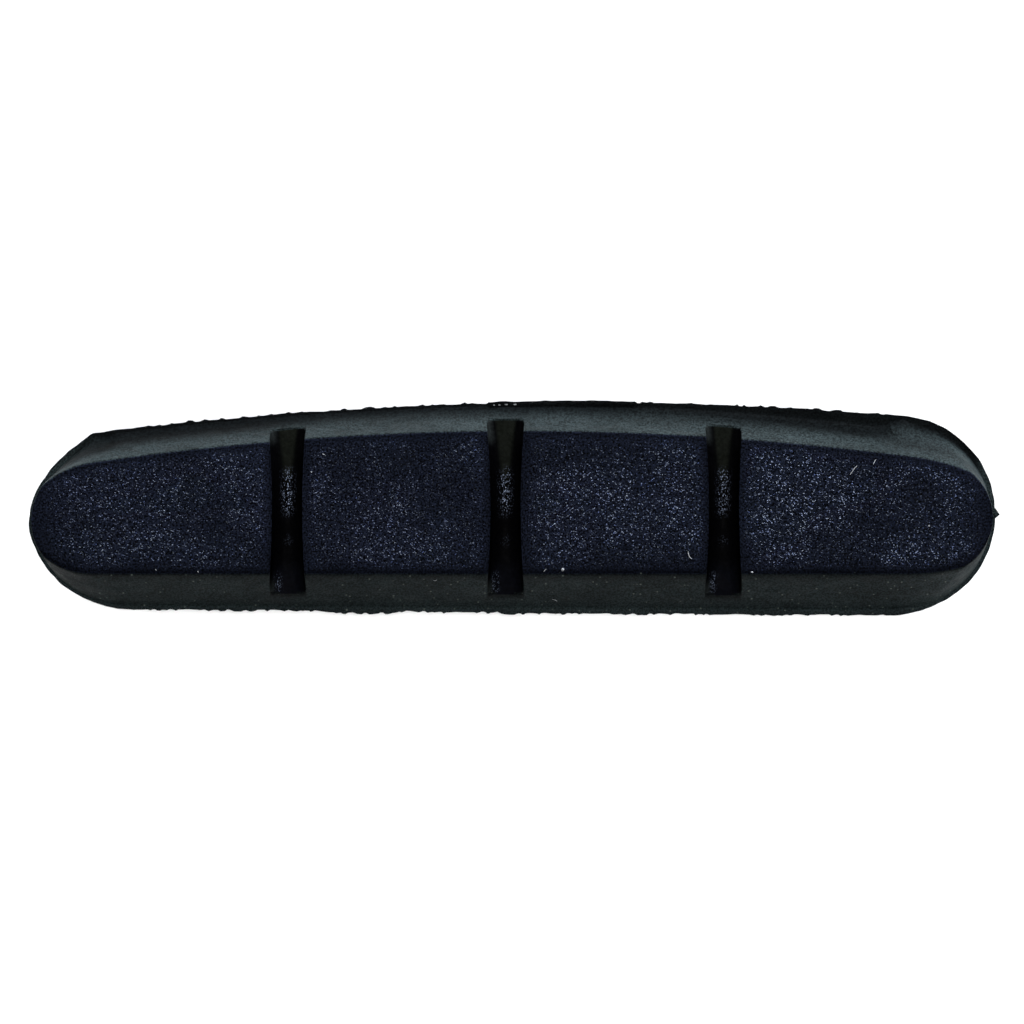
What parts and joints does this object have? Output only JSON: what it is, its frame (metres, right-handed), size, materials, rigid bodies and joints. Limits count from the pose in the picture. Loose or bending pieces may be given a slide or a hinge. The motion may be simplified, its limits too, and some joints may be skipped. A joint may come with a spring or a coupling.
{
  "type": "bicycle rim brake pad insert",
  "caption": "Moulded rubber friction insert of a bicycle rim brake pad: crowned block with drafted flanks, cross grooves and a back rail that slides into a shoe.",
  "frame": {"origin": "centre of the pad's length and width, on the flat back face of the shoe rail", "axes": "+Z out of the friction face, +X along the pad towards the end with the retaining notch, +Y towards the crowned long edge"},
  "size_m": [0.055, 0.0119, 0.01],
  "materials": {
    "rubber_compound": "matte moulded black rubber, fine glittering grain on the friction face"
  },
  "bodies": {
    "root": {"brake_pad": "rubber_compound"}
  },
  "joints": []
}
